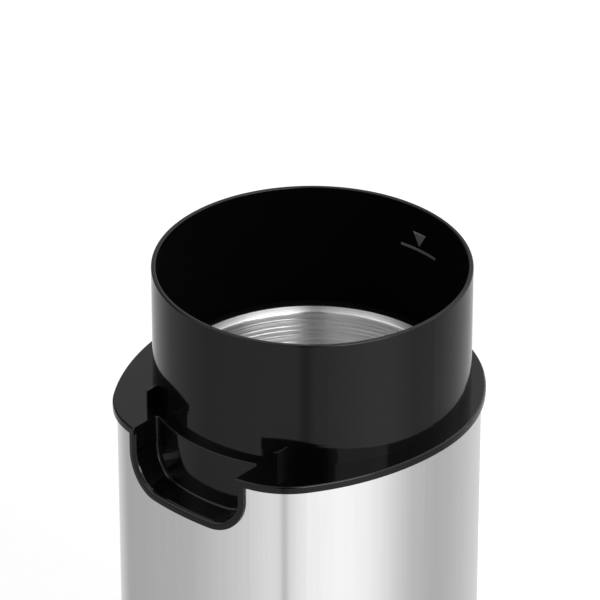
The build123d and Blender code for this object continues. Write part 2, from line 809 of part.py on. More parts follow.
with BuildPart() as upper_bushing:
    with BuildSketch(level(upper_hub_z)):
        Circle(bushing_r)
        Circle(shaft_r + run_gap, mode=Mode.SUBTRACT)
    extrude(amount=hub_h)
upper_bushing.part.label = "upper_bushing"
export_step(upper_bushing.part, "parts/upper_bushing.step")

with BuildPart() as lower_bushing:
    with BuildSketch(level(lower_hub_z)):
        Circle(bushing_r)
        Circle(shaft_r + run_gap, mode=Mode.SUBTRACT)
    extrude(amount=hub_h)
lower_bushing.part.label = "lower_bushing"
export_step(lower_bushing.part, "parts/lower_bushing.step")

# Stator: a stack of two-pole laminations
with BuildSketch() as pole_shoes:
    Circle(shoe_r)
    Rectangle(2 * shoe_r, pole_shoe_w, mode=Mode.INTERSECT)
with BuildPart() as stator_core:
    with BuildSketch(level(stator_z)):
        RectangleRounded(stator_x, stator_y, stator_corner_r)
        Rectangle(2 * window_x, stator_y - 2 * yoke_y, mode=Mode.SUBTRACT)
        add(pole_shoes.sketch)
        Rectangle(stator_x - yoke_x, pole_neck_w)
        Circle(armature_r + air_gap, mode=Mode.SUBTRACT)
        with Locations(*bolt_spots):
            Circle(bolt_r + run_gap, mode=Mode.SUBTRACT)
    extrude(amount=stack_h)
stator_core.part.label = "stator_core"
export_step(stator_core.part, "parts/stator_core.step")

# Field coils round the two pole necks
with BuildPart() as field_coils:
    for side in (-1, 1):
        pole_spot = (side * coil_x, axis_y, stator_z + stack_h / 2)
        pole_face = Plane(pole_spot, x_dir=(0, 1, 0), z_dir=(side, 0, 0))
        with BuildSketch(pole_face):
            RectangleRounded(coil_span, stack_h + 2 * coil_over, coil_over)
            Rectangle(pole_neck_w + 2 * coil_gap, stack_h + 2 * coil_gap, mode=Mode.SUBTRACT)
        extrude(amount=coil_w)
field_coils.part.label = "field_coils"
export_step(field_coils.part, "parts/field_coils.step")

with BuildPart() as thermal_cutout:
    with BuildSketch(level(stator_top + coil_over)):
        with Locations((coil_x + coil_w / 2, 0)):
            Rectangle(cutout_size[0], cutout_size[1])
    extrude(amount=cutout_size[2])
    fillet(thermal_cutout.edges().filter_by(Axis.Z), case_round)
thermal_cutout.part.label = "thermal_cutout"
export_step(thermal_cutout.part, "parts/thermal_cutout.step")

# Long bolts through both brackets and the stator, with nuts on top
with BuildPart() as motor_bolts:
    with BuildSketch(level(lower_plate_z - bolt_head_h)):
        with Locations(*bolt_spots):
            Circle(bolt_head_r)
    extrude(amount=bolt_head_h)
    with BuildSketch(level(lower_plate_z)):
        with Locations(*bolt_spots):
            Circle(bolt_r)
    extrude(amount=upper_plate_top + bolt_head_h - lower_plate_z)
motor_bolts.part.label = "motor_bolts"
export_step(motor_bolts.part, "parts/motor_bolts.step")

with BuildPart() as bolt_nuts:
    with BuildSketch(level(upper_plate_top)):
        with Locations(*bolt_spots):
            RegularPolygon(bolt_head_r, 6)
            Circle(bolt_r + run_gap, mode=Mode.SUBTRACT)
    extrude(amount=bolt_head_h)
bolt_nuts.part.label = "bolt_nuts"
export_step(bolt_nuts.part, "parts/bolt_nuts.step")

# Brush gear: insulated holders on the lower bracket, carbon brushes and their springs
brush_z = commutator_z + commutator_h / 2
holder_h = brush_z + brush_size / 2 + brush_slack + holder_wall - lower_plate_top
brush_face = commutator_r + run_gap
brush_back = brush_face + brush_l
holder_stop = holder_x_out - holder_wall
with BuildPart() as brush_holders:
    with BuildSketch(level(lower_plate_top)):
        with Locations(((holder_x_in + holder_x_out) / 2, 0), (-(holder_x_in + holder_x_out) / 2, 0)):
            Rectangle(holder_x_out - holder_x_in, holder_w)
    extrude(amount=holder_h)
    with BuildSketch(right.offset(-holder_stop)):
        with Locations((0, brush_z)):
            Rectangle(brush_size + 2 * brush_slack, brush_size + 2 * brush_slack)
    extrude(amount=2 * holder_stop, mode=Mode.SUBTRACT)
brush_holders.part.label = "brush_holders"
export_step(brush_holders.part, "parts/brush_holders.step")

with BuildPart() as carbon_brushes:
    with BuildSketch(level(brush_z - brush_size / 2)):
        Rectangle(2 * brush_back, brush_size)
        Circle(brush_face, mode=Mode.SUBTRACT)
    extrude(amount=brush_size)
carbon_brushes.part.label = "carbon_brushes"
export_step(carbon_brushes.part, "parts/carbon_brushes.step")

brush_spring = coil(brush_size / 2 - 2 * brush_spring_wire_r, brush_spring_wire_r, brush_spring_turns,
                    holder_stop - brush_back)
with BuildPart() as brush_springs:
    for side in (-1, 1):
        seat = Plane((side * brush_back, axis_y, brush_z), x_dir=(0, 1, 0), z_dir=(side, 0, 0))
        add(brush_spring.moved(seat.location))
brush_springs.part.label = "brush_springs"
export_step(brush_springs.part, "parts/brush_springs.step")

# Shaft with its threaded stud for the blade nut
with BuildPart() as motor_shaft:
    with BuildSketch(level(shaft_z)):
        Circle(shaft_r)
    extrude(amount=blade_z - shaft_z)
    with BuildSketch(level(blade_z)):
        Circle(stud_r)
    extrude(amount=shaft_top - blade_z)
    chamfer(motor_shaft.edges().group_by(Axis.Z)[-1], stud_r / 4)
    chamfer(motor_shaft.edges().group_by(Axis.Z)[0], shaft_r / 5)
motor_shaft.part.label = "motor_shaft"
export_step(motor_shaft.part, "parts/motor_shaft.step")

# Armature: slotted laminations and one winding that fills the slots
with BuildSketch() as armature_slots:
    with PolarLocations((slot_in_r + slot_out_r) / 2, slot_count):
        SlotOverall(slot_out_r - slot_in_r, slot_w)
with BuildSketch() as slot_mouths:
    with PolarLocations(armature_r, slot_count):
        Rectangle(4 * tooth_tip, slot_mouth)
with BuildPart() as armature_core:
    with BuildSketch(level(stator_z)):
        Circle(armature_r)
        Circle(shaft_r + press_gap, mode=Mode.SUBTRACT)
        add(armature_slots.sketch, mode=Mode.SUBTRACT)
        add(slot_mouths.sketch, mode=Mode.SUBTRACT)
    extrude(amount=stack_h)
armature_core.part.label = "armature_core"
export_step(armature_core.part, "parts/armature_core.step")

with BuildSketch() as slot_copper:
    with PolarLocations((slot_in_r + slot_out_r) / 2, slot_count):
        SlotOverall(slot_out_r - slot_in_r - 2 * press_gap, slot_w - 2 * press_gap)
with BuildPart() as armature_windings:
    with BuildSketch(level(stator_z - press_gap)):
        add(slot_copper.sketch)
    extrude(amount=stack_h + 2 * press_gap)
    for z, rise in ((stator_z - press_gap, -winding_over), (stator_top + press_gap, winding_over)):
        with BuildSketch(level(z)):
            Circle(slot_out_r)
            Circle(winding_in_r, mode=Mode.SUBTRACT)
        extrude(amount=rise)
    ends = armature_windings.edges().filter_by(GeomType.CIRCLE)
    fillet(ends.group_by(Axis.Z)[0] + ends.group_by(Axis.Z)[-1], winding_over / 3)
armature_windings.part.label = "armature_windings"
export_step(armature_windings.part, "parts/armature_windings.step")

with BuildPart() as commutator:
    with BuildSketch(level(commutator_z)):
        Circle(commutator_r)
        Circle(shaft_r + press_gap, mode=Mode.SUBTRACT)
        with PolarLocations(commutator_r, slot_count):
            Rectangle(2 * segment_groove, segment_groove, mode=Mode.SUBTRACT)
    extrude(amount=commutator_h)
commutator.part.label = "commutator"
export_step(commutator.part, "parts/commutator.step")

# Cooling fan with pitched blades
with BuildPart() as fan_disc:
    with BuildSketch(level(fan_z)):
        Circle(fan_r)
    extrude(amount=fan_h)
with BuildPart() as cooling_fan:
    with BuildSketch(level(fan_z)):
        Circle(fan_hub_r)
    extrude(amount=fan_h)
    for turn in range(fan_blade_count):
        with BuildSketch(right):
            with Locations((0, fan_z + fan_h / 2)):
                Rectangle(fan_blade_t, 2 * fan_h, rotation=fan_blade_pitch)
        blade_solid = extrude(amount=2 * fan_r, mode=Mode.PRIVATE)
        add(blade_solid.rotate(drive_axis, 360 * turn / fan_blade_count))
    add(fan_disc.part, mode=Mode.INTERSECT)
    with BuildSketch(level(fan_z)):
        Circle(shaft_r + press_gap)
    extrude(amount=fan_h, mode=Mode.SUBTRACT)
cooling_fan.part.label = "cooling_fan"
export_step(cooling_fan.part, "parts/cooling_fan.step")

with BuildPart() as thrust_washers:
    for z in (upper_hub_z - play - washer_t, lower_hub_top + play):
        with BuildSketch(level(z)):
            Circle(bushing_r)
            Circle(shaft_r + press_gap, mode=Mode.SUBTRACT)
        extrude(amount=washer_t)
thrust_washers.part.label = "thrust_washers"
export_step(thrust_washers.part, "parts/thrust_washers.step")

# Blade: a pressed strip with raised, sharpened wings, held between its hub and a nut
with BuildPart() as blade_hub:
    with BuildSketch(level(blade_hub_z)):
        Circle(blade_hub_r)
        Circle(shaft_r + press_gap, mode=Mode.SUBTRACT)
    extrude(amount=blade_hub_h)
blade_hub.part.label = "blade_hub"
export_step(blade_hub.part, "parts/blade_hub.step")

with BuildPart() as blade:
    with BuildSketch(front):
        with BuildLine():
            Polyline((-blade_reach, blade_z + blade_rise), (-blade_flat, blade_z), (blade_flat, blade_z),
                     (blade_reach, blade_z + blade_rise), (blade_reach, blade_z + blade_rise + blade_t),
                     (blade_flat, blade_z + blade_t), (-blade_flat, blade_z + blade_t),
                     (-blade_reach, blade_z + blade_rise + blade_t), close=True)
        make_face()
    extrude(amount=blade_root_w, both=True)
    with BuildSketch(level(blade_z)):
        with BuildLine():
            Polyline((-blade_reach, -blade_tip_w / 4), (-blade_flat, -blade_root_w / 2),
                     (blade_flat, -blade_root_w / 2), (blade_reach, -blade_tip_w * 3 / 4),
                     (blade_reach, blade_tip_w / 4), (blade_flat, blade_root_w / 2),
                     (-blade_flat, blade_root_w / 2), (-blade_reach, blade_tip_w * 3 / 4), close=True)
        make_face()
    extrude(amount=blade_rise + 2 * blade_t, mode=Mode.INTERSECT)
    for side in (-1, 1):
        wing_mid = (side * (blade_flat + blade_reach) / 2,
                    axis_y - side * (blade_root_w / 2 + blade_tip_w * 3 / 4) / 2,
                    blade_z + blade_t + blade_rise / 2)
        chamfer(blade.edges().sort_by_distance(wing_mid)[0], blade_bevel)
    with BuildSketch(level(blade_z)):
        Circle(stud_r + press_gap)
    extrude(amount=blade_t, mode=Mode.SUBTRACT)
blade.part.label = "blade"
export_step(blade.part, "parts/blade.step")

with BuildPart() as blade_nut:
    with BuildSketch(level(blade_nut_z)):
        RegularPolygon(blade_nut_r, 6)
    extrude(amount=blade_nut_h)
    with BuildSketch(level(blade_nut_z)):
        Circle(stud_r + press_gap)
    extrude(amount=shaft_top + press_gap - blade_nut_z, mode=Mode.SUBTRACT)
blade_nut.part.label = "blade_nut"
export_step(blade_nut.part, "parts/blade_nut.step")

# Lid interlock: the pusher that the lid's tab presses, its spring and the switch under it
foot_end_y = spring_y + spring_r + spring_wire_r + foot_edge
foot_x = switch_x - switch_w / 2 + foot_edge
foot_x_in = switch_x + switch_w / 2 - foot_edge
with BuildPart() as interlock_pusher:
    with BuildSketch(level(pusher_foot_z)):
        with Locations((pusher_x, back_y)):
            Rectangle(pusher_t, pusher_w, align=(Align.MIN, Align.CENTER))
    extrude(amount=lip_z - play - pusher_foot_z)
    with BuildSketch(level(lip_z - play)):
        with Locations((pusher_x, back_y)):
            Rectangle(pusher_t, tongue_w, align=(Align.MIN, Align.CENTER))
    extrude(amount=lip_t + play - tongue_sink)
    with BuildSketch(level(pusher_foot_z)):
        with Locations((pusher_x, back_y)):
            Rectangle(foot_x_in - pusher_x, pusher_w, align=(Align.MIN, Align.CENTER))
        with Locations((foot_x, back_y)):
            Rectangle(foot_x_in - foot_x, foot_end_y - back_y, align=(Align.MIN, Align.MIN))
    extrude(amount=pusher_foot_t)
interlock_pusher.part.label = "interlock_pusher"
export_step(interlock_pusher.part, "parts/interlock_pusher.step")

return_spring = coil(spring_r, spring_wire_r, spring_turns, pusher_foot_z - shelf_top)
with BuildPart() as interlock_spring:
    add(return_spring.moved(Location((switch_x, axis_y + spring_y, shelf_top))))
interlock_spring.part.label = "interlock_spring"
export_step(interlock_spring.part, "parts/interlock_spring.step")

# Shelf for the switch and the spring, ringed onto two of the carrier's posts
with BuildPart() as switch_bracket:
    with BuildSketch(level(shelf_top - shelf_t)):
        with Locations((shelf_x, switch_front)):
            Rectangle(shelf_w, foot_end_y - switch_front, align=(Align.CENTER, Align.MIN))
        for side in (-1, 1):
            add(link((-post_x, side * post_y), post_r + ring_w, (shelf_x, side * post_y / 2), shelf_w / 2))
        with Locations((-post_x, -post_y), (-post_x, post_y)):
            Circle(post_r + run_gap, mode=Mode.SUBTRACT)
    extrude(amount=shelf_t)
    with BuildSketch(level(shelf_top)):
        with Locations((switch_x, spring_y)):
            Circle(spring_r - spring_wire_r - 2 * run_gap)
    extrude(amount=switch_h / 2)
switch_bracket.part.label = "switch_bracket"
export_step(switch_bracket.part, "parts/switch_bracket.step")

with BuildPart() as switch_body:
    with BuildSketch(level(shelf_top)):
        with Locations((switch_x, switch_front)):
            Rectangle(switch_w, switch_l, align=(Align.CENTER, Align.MIN))
    extrude(amount=switch_h)
    with BuildSketch(level(switch_top)):
        for side in (-1, 1):
            with Locations((switch_x + side * (switch_w + lever_w + 4 * run_gap) / 4, pivot_y)):
                Rectangle((switch_w - lever_w - 4 * run_gap) / 2, ear_block)
    extrude(amount=pivot_lift + pivot_r + pivot_cap)
    with BuildSketch(right):
        with Locations((pivot_y, pivot_z)):
            Circle(pivot_r + run_gap)
    extrude(amount=2 * back_r, both=True, mode=Mode.SUBTRACT)
    with BuildSketch(level(switch_top - plunger_depth)):
        with Locations((switch_x, pivot_y + plunger_at)):
            Circle(plunger_r + run_gap)
    extrude(amount=plunger_depth, mode=Mode.SUBTRACT)
switch_body.part.label = "switch_body"
export_step(switch_body.part, "parts/switch_body.step")

terminal_x = switch_x + terminal_in
with BuildPart() as switch_terminals:
    with BuildSketch(front.offset(-switch_front)):
        with Locations((terminal_x, shelf_top + terminal_up + terminal_pitch / 2)):
            with GridLocations(0, terminal_pitch, 1, 2):
                Rectangle(terminal_size[0], terminal_size[1])
    extrude(amount=terminal_size[2])
switch_terminals.part.label = "switch_terminals"
export_step(switch_terminals.part, "parts/switch_terminals.step")

# Lever: a sprung strip that rises from its pivot to the pusher's foot
lever_l = hypot(lever_rise, lever_run)
lever_plane = Plane((switch_x, axis_y + pivot_y, pivot_z), x_dir=(0, lever_run, lever_rise), z_dir=(1, 0, 0))
with BuildPart() as switch_lever:
    with BuildSketch(lever_plane):
        Rectangle(lever_l, lever_t, align=(Align.MIN, Align.CENTER))
        Circle(pivot_r + lever_t)
    extrude(amount=lever_w / 2, both=True)
    with BuildSketch(lever_plane):
        Circle(pivot_r)
    extrude(amount=switch_w / 2, both=True)
switch_lever.part.label = "switch_lever"
export_step(switch_lever.part, "parts/switch_lever.step")

plunger_top = pivot_z + plunger_at * lever_rise / lever_run - lever_t - lever_gap
with BuildPart() as switch_plunger:
    with BuildSketch(level(switch_top - plunger_depth + plunger_travel + 2 * play)):
        with Locations((switch_x, pivot_y + plunger_at)):
            Circle(plunger_r)
    extrude(amount=plunger_top - (switch_top - plunger_depth + plunger_travel + 2 * play))
switch_plunger.part.label = "switch_plunger"
export_step(switch_plunger.part, "parts/switch_plunger.step")

# Interference suppressor on the base pan's floor
capacitor_y = gland_y - pan_wall - gland_inside - capacitor_gap - capacitor_size[1] / 2
with BuildPart() as suppressor_capacitor:
    with BuildSketch(level(pan_floor_z)):
        with Locations((0, capacitor_y)):
            Rectangle(capacitor_size[0], capacitor_size[1])
    extrude(amount=capacitor_size[2])
    fillet(suppressor_capacitor.edges().filter_by(Axis.Z), case_round)
suppressor_capacitor.part.label = "suppressor_capacitor"
export_step(suppressor_capacitor.part, "parts/suppressor_capacitor.step")
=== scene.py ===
# %% [markdown]
# # Electric coffee grinder, base unit with its lid off
# The object is a glossy black moulding with a tall round collar, seated on a sleeve of brushed
# steel. The collar opens onto a spun steel bowl with a blade at its bottom. The solids of every
# piece come from the shared frame, at their real size and place. This lesson gives them their
# finishes, and remakes the pieces whose look needs a finer surface than a solid has.

# %% Load the shared frame
import json
import math

import bpy
import numpy as np
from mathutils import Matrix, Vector


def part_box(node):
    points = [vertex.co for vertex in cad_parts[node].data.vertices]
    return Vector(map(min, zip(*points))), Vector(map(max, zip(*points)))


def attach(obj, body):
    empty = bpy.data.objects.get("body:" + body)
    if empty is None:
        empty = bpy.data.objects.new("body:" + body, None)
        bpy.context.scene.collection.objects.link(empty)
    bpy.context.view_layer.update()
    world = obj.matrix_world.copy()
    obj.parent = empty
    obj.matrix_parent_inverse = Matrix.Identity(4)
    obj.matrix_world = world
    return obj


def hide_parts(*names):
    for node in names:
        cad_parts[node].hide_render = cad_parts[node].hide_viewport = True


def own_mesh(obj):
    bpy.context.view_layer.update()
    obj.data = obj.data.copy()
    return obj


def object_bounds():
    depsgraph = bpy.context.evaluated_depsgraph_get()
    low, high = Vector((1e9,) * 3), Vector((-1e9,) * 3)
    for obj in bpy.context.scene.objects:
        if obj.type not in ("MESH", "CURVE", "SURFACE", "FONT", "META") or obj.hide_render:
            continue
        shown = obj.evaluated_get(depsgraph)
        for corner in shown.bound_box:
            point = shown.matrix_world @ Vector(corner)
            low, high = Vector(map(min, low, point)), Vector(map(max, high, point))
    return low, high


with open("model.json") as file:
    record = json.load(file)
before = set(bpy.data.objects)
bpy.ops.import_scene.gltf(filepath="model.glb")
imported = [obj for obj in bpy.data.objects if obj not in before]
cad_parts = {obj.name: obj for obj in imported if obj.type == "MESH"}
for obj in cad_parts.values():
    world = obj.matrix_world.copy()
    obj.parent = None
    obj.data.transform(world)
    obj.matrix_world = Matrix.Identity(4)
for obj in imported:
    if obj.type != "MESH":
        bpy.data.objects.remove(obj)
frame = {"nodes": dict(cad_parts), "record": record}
cad_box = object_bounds()

# %% [markdown]
# ## Sizes
# Sizes are in metres. What the frame can tell is read from it: the drive axis is the middle of the
# blade's hub, and the bowl's base, rim and flange are the sides of its box. Only the sizes that no
# box gives, such as the thickness of a sheet, are written here.

# %% Read the main sizes
MM = 0.001


def node_box(name):
    """The lowest and the highest corner of a node at rest, as arrays."""
    low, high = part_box(name)
    return np.array(low), np.array(high)


hub_low, hub_high = node_box("blade_hub")
axis_x, axis_y = (hub_low + hub_high)[:2] / 2
bowl_low, bowl_high = node_box("grinding_bowl")
bowl_base_z = bowl_low[2]
bowl_rim_z = bowl_high[2]
flange_r = (bowl_high[0] - bowl_low[0]) / 2
print(f"drive axis at y = {axis_y / MM:.2f} mm, bowl's rim at {bowl_rim_z / MM:.1f} mm,",
      f"flange radius {flange_r / MM:.2f} mm")

# %% [markdown]
# ## Surfaces from arrays
# A turned or swept shape is a grid of points: one direction runs along a profile, the other along a
# path. With numpy the whole grid is one array, and the faces are the array's neighbouring cells, so
# no loop goes over the vertices. A grid that closes on itself wraps its last row onto its first.


# %% Helpers that turn grids into meshes
def grid_faces(rows, columns, wrap_rows, wrap_columns):
    """Each cell of the grid is a quad: a corner, its neighbour in the row, across, and back."""
    row = np.arange(rows if wrap_rows else rows - 1)[:, None]
    column = np.arange(columns if wrap_columns else columns - 1)[None, :]
    next_row = (row + 1) % rows
    next_column = (column + 1) % columns
    corners = [row * columns + column, row * columns + next_column,
               next_row * columns + next_column, next_row * columns + column]
    return np.stack(corners, axis=-1).reshape(-1, 4)


def mesh_piece(name, points, faces, body):
    """Puts points and faces into a mesh with smooth shading, and lets it ride on a body."""
    mesh = bpy.data.meshes.new(name)
    mesh.from_pydata(points.reshape(-1, 3), [], faces)
    mesh.polygons.foreach_set("use_smooth", np.ones(len(mesh.polygons), dtype=bool))
    mesh.update()
    piece = bpy.data.objects.new(name, mesh)
    bpy.context.collection.objects.link(piece)
    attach(piece, body)
    print(f"{name}: {len(mesh.vertices)} vertices, {len(mesh.polygons)} faces")
    return piece


# %% Helpers that draw and turn a profile
turn_steps = 200


def arc(centre, radius, start, end, steps):
    """Points on an arc in a profile, between two angles in degrees: centre + radius (cos a, sin a)."""
    a = np.radians(np.linspace(start, end, steps))
    return np.stack([centre[0] + radius * np.cos(a), centre[1] + radius * np.sin(a)], axis=-1)


def line(start, end, steps):
    """Points on a straight run of a profile, without its last point: start (1 - t) + end t."""
    t = np.linspace(0, 1, steps, endpoint=False)[:, None]
    return np.array(start) * (1 - t) + np.array(end) * t


def turned_piece(name, profile):
    """Carries a closed profile of (radius, height) round the drive axis: x = r cos a, y = r sin a."""
    angle = np.linspace(0, 2 * math.pi, turn_steps, endpoint=False)[:, None]
    radius, height = profile[:, 0][None, :], profile[:, 1][None, :]
    x = axis_x + radius * np.cos(angle)
    y = axis_y + radius * np.sin(angle)
    points = np.stack([x, y, height * np.ones_like(angle)], axis=-1)
    faces = grid_faces(turn_steps, len(profile), True, True)
    return mesh_piece(name, points, faces, "housing")


# %% [markdown]
# ## Grinding bowl
# The bowl is drawn from thin sheet and spun smooth: a flat floor, a generous round corner, a plain
# wall and a narrow flange that rises a little towards its edge. The spinning tool leaves rings in the
# wall, a little over a millimetre apart and about a tenth of a millimetre from crest to valley, which
# the plain solid lacks. A bump in the finish could fake them in a picture, but a mesh that leaves
# Blender would lose them. So the bowl is remade as one turned surface, with the rings worked into its
# profile as two waves of unlike length.

# %% Set out the bowl's section
bowl_sheet = 0.7 * MM
bowl_r = 37.15 * MM
bowl_hole_r = 6.85 * MM
bowl_corner_r = 14 * MM
bowl_bend_r = 0.9 * MM
flange_dish = 0.95 * MM
floor_z = bowl_base_z + bowl_sheet
wall_top = bowl_rim_z - flange_dish - bowl_bend_r
corner_c = np.array([bowl_r - bowl_corner_r, floor_z + bowl_corner_r])
bend_c = np.array([bowl_r + bowl_bend_r, wall_top])
edge_c = np.array([flange_r - bowl_sheet / 2, bowl_rim_z - bowl_sheet / 2])
flange_tilt = math.degrees(math.atan2(flange_dish, edge_c[0] - bend_c[0]))
print(f"bowl: wall up to {wall_top / MM:.2f} mm, flange tilted by {flange_tilt:.1f} degrees")

# %% Make the bowl
ring_pitch = 1.25 * MM
ring_depth = 0.05 * MM
short_wave_share = 0.6
short_wave_rate = 1.73
short_wave_start = 1.0
wall_steps = 260
floor_steps = corner_steps = 60
bend_steps = 14
edge_steps = 9
outer_wall_steps, outer_corner_steps, underside_steps = 6, 24, 4


def tool_rings(height):
    """How far the rings stand into the bowl: depth (sin w + share sin(rate w + start)), which is a long
    and a short wave that drift past each other."""
    turns = 2 * math.pi * height / ring_pitch
    short_wave = np.sin(short_wave_rate * turns + short_wave_start)
    return ring_depth * (np.sin(turns) + short_wave_share * short_wave)


def bowl_profile():
    """Inside from the hole, over floor, corner, ringed wall and flange, then back along the outside."""
    out_r = bowl_r + bowl_sheet
    wall = line((bowl_r, corner_c[1]), (bowl_r, wall_top), wall_steps)
    to_end = np.minimum(wall[:, 1] - corner_c[1], wall_top - wall[:, 1])
    wall[:, 0] -= np.clip(to_end / ring_pitch, 0, 1) * tool_rings(wall[:, 1])
    return np.concatenate([
        line((bowl_hole_r, floor_z), (corner_c[0], floor_z), floor_steps),
        arc(corner_c, bowl_corner_r, -90, 0, corner_steps)[:-1],
        wall,
        arc(bend_c, bowl_bend_r, 180, 90 + flange_tilt, bend_steps),
        arc(edge_c, bowl_sheet / 2, 90 + flange_tilt, flange_tilt - 90, edge_steps),
        arc(bend_c, bowl_bend_r - bowl_sheet, 90 + flange_tilt, 180, edge_steps)[:-1],
        line((out_r, wall_top), (out_r, corner_c[1]), outer_wall_steps),
        arc(corner_c, bowl_corner_r + bowl_sheet, 0, -90, outer_corner_steps)[:-1],
        line((corner_c[0], bowl_base_z), (bowl_hole_r, bowl_base_z), underside_steps),
        np.array([[bowl_hole_r, bowl_base_z]]),
    ])


bowl = turned_piece("spun_bowl", bowl_profile())
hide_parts("grinding_bowl")

# %% [markdown]
# ## Edge seal
# Coffee dust would find its way round the flange, so a rubber seal grips the flange's edge: a foot
# under it, a web between it and the collar, and a tongue that lies on its top. From above, the tongue
# hides the flange's outer part, and only the bright bend of the bowl shows. The section of a seal is
# simplest as one closed profile, turned as the bowl is.

# %% Make the edge seal
collar_in_r = 40.75 * MM
seal_play = 0.02 * MM
tongue_t = 0.25 * MM
tongue_in_r = 39.45 * MM
foot_w = 0.9 * MM
tip_steps = 9
grip_steps = 13
gasket_low, _ = node_box("bowl_gasket")


def seal_profile():
    """Round the tongue's tip, out over its top, down the web, in under the foot, round the flange."""
    tilt = math.radians(flange_tilt)
    along = np.array([math.cos(tilt), math.sin(tilt)])
    up = np.array([-math.sin(tilt), math.cos(tilt)])
    grip_r = bowl_sheet / 2 + seal_play
    reach = (edge_c[0] - tongue_in_r) / along[0]
    tip_c = edge_c - reach * along + (grip_r + tongue_t / 2) * up
    web_r = collar_in_r - seal_play
    tongue_top = tip_c + tongue_t / 2 * up
    web_top = tongue_top + (web_r - tongue_top[0]) / along[0] * along
    foot_in_r = flange_r - foot_w
    foot_z = gasket_low[2] + seal_play
    foot_top = edge_c - grip_r * up - (edge_c[0] - foot_in_r) / along[0] * along
    return np.concatenate([
        arc(tip_c, tongue_t / 2, flange_tilt + 270, flange_tilt + 90, tip_steps),
        [web_top, (web_r, foot_z), (foot_in_r, foot_z), foot_top],
        arc(edge_c, grip_r, flange_tilt - 90, flange_tilt + 90, grip_steps),
    ])


edge_seal = turned_piece("edge_seal", seal_profile())
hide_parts("bowl_gasket")

# %% [markdown]
# ## Fill mark
# Beans go in up to a printed line on the black inner wall. The mark is ink, so it is a thin patch
# that lies on the wall: a bar, and over it a small triangle that points down at the bar, the usual
# sign for a level. A mask in the wall's finish could also draw it, but a patch is a piece of its own,
# which an exported model keeps. Both shapes are bent to the wall's radius, and a Solidify modifier
# gives the ink its thickness, from its face back to the wall.

# %% Draw patches on the wall
ink_t = 0.02 * MM
mark_angle = 87.5
patch_rows = 6
patch_columns = 24


def on_wall(across, height):
    """Bends a flat drawing onto the collar's inner wall: a = middle - across / radius."""
    a = math.radians(mark_angle) - across / collar_in_r
    r = collar_in_r - ink_t
    return np.stack([axis_x + r * np.cos(a), axis_y + r * np.sin(a), height], axis=-1)


def wall_patch(low, high, low_w, high_w):
    """A patch between two heights: its width is low_w + (high_w - low_w) rise, as rise goes 0 to 1."""
    rise = np.linspace(0, 1, patch_rows)[:, None]
    share = np.linspace(-0.5, 0.5, patch_columns)[None, :]
    across = (low_w + (high_w - low_w) * rise) * share
    return on_wall(across, low + (high - low) * rise + 0 * share).reshape(-1, 3)


# %% Make the fill mark
bar_w = 12.6 * MM
bar_h = 0.85 * MM
bar_z = 152.0 * MM
mark_gap = 0.9 * MM
triangle_w = 4.6 * MM
triangle_h = 3.9 * MM
triangle_z = bar_z + bar_h + mark_gap
tip_w = 0.3 * MM
bar_points = wall_patch(bar_z, bar_z + bar_h, bar_w, bar_w)
triangle_points = wall_patch(triangle_z, triangle_z + triangle_h, tip_w, triangle_w)
mark_points = np.concatenate([bar_points, triangle_points])
patch_faces = grid_faces(patch_rows, patch_columns, False, False)
mark_faces = np.concatenate([patch_faces, patch_faces + len(bar_points)])
fill_mark = mesh_piece("fill_mark", mark_points, mark_faces, "housing")
ink = fill_mark.modifiers.new("ink", "SOLIDIFY")
ink.thickness = ink_t
ink.offset = -1

# %% [markdown]
# ## Return spring
# Under the lid switch's pusher a small compression spring stands on a shelf. A solid keeps its length,
# so a pressed pusher would sink into it. A bevelled curve could draw the coil, but a tube that is
# worked out along a helix is a mesh from the start, with its ends and faces as chosen.

# %% Make the return spring
spring_low, spring_high = node_box("interlock_spring")
spring_wire_r = 0.3 * MM
spring_turns = 6
steps_per_turn = 24
spring_steps = steps_per_turn * spring_turns + 1
spring_sides = 10


def helix_tube(low, high, wire_r, turns, steps, sides):
    """A circle carried along a helix that fills a box: middle + wire_r (cos b out + sin b across)."""
    t = np.linspace(0, 1, steps)[:, None]
    a = 2 * math.pi * turns * t
    radius = (high[0] - low[0]) / 2 - wire_r
    rise = high[2] - low[2] - 2 * wire_r
    slope = rise / (2 * math.pi * turns * radius)
    out = np.concatenate([np.cos(a), np.sin(a), 0 * a], axis=1)
    along = np.concatenate([-np.sin(a), np.cos(a), 0 * a + slope], axis=1)
    along /= np.linalg.norm(along, axis=1, keepdims=True)
    across = np.cross(along, out)
    middle = (low + high) / 2 + radius * out
    middle[:, 2] = low[2] + wire_r + rise * t[:, 0]
    b = np.linspace(0, 2 * math.pi, sides, endpoint=False)[None, :, None]
    return middle[:, None, :] + wire_r * (np.cos(b) * out[:, None, :] + np.sin(b) * across[:, None, :])


coils = helix_tube(spring_low, spring_high, spring_wire_r, spring_turns, spring_steps, spring_sides)
first_end = list(range(spring_sides))
last_end = [(spring_steps - 1) * spring_sides + corner for corner in first_end]
coil_faces = grid_faces(spring_steps, spring_sides, False, True).tolist() + [first_end[::-1], last_end]
return_spring = mesh_piece("return_spring", coils, coil_faces, "housing")
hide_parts("interlock_spring")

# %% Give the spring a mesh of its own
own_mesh(return_spring)

# %% [markdown]
# ## Shared surface effects
# Two effects turn up in many finishes. A moulded skin has a faint mottle in its colour and gloss. A
# drawn grain has fine streaks along one direction, as brushing or turning leaves them. Each is one
# node group, and every material sets its own values on it. A few helpers keep the trees short: each
# adds a node, joins it to what feeds it, and hands on its output.


# %% Helpers that add nodes
def node(tree, kind, links=(), **settings):
    """Adds a node, sets its properties, and joins or sets (input, source socket or value) pairs."""
    made = tree.nodes.new("ShaderNode" + kind)
    for key, value in settings.items():
        setattr(made, key, value)
    for socket, source in links:
        if hasattr(source, "is_linked"):
            tree.links.new(source, made.inputs[socket])
        else:
            made.inputs[socket].default_value = source
    return made


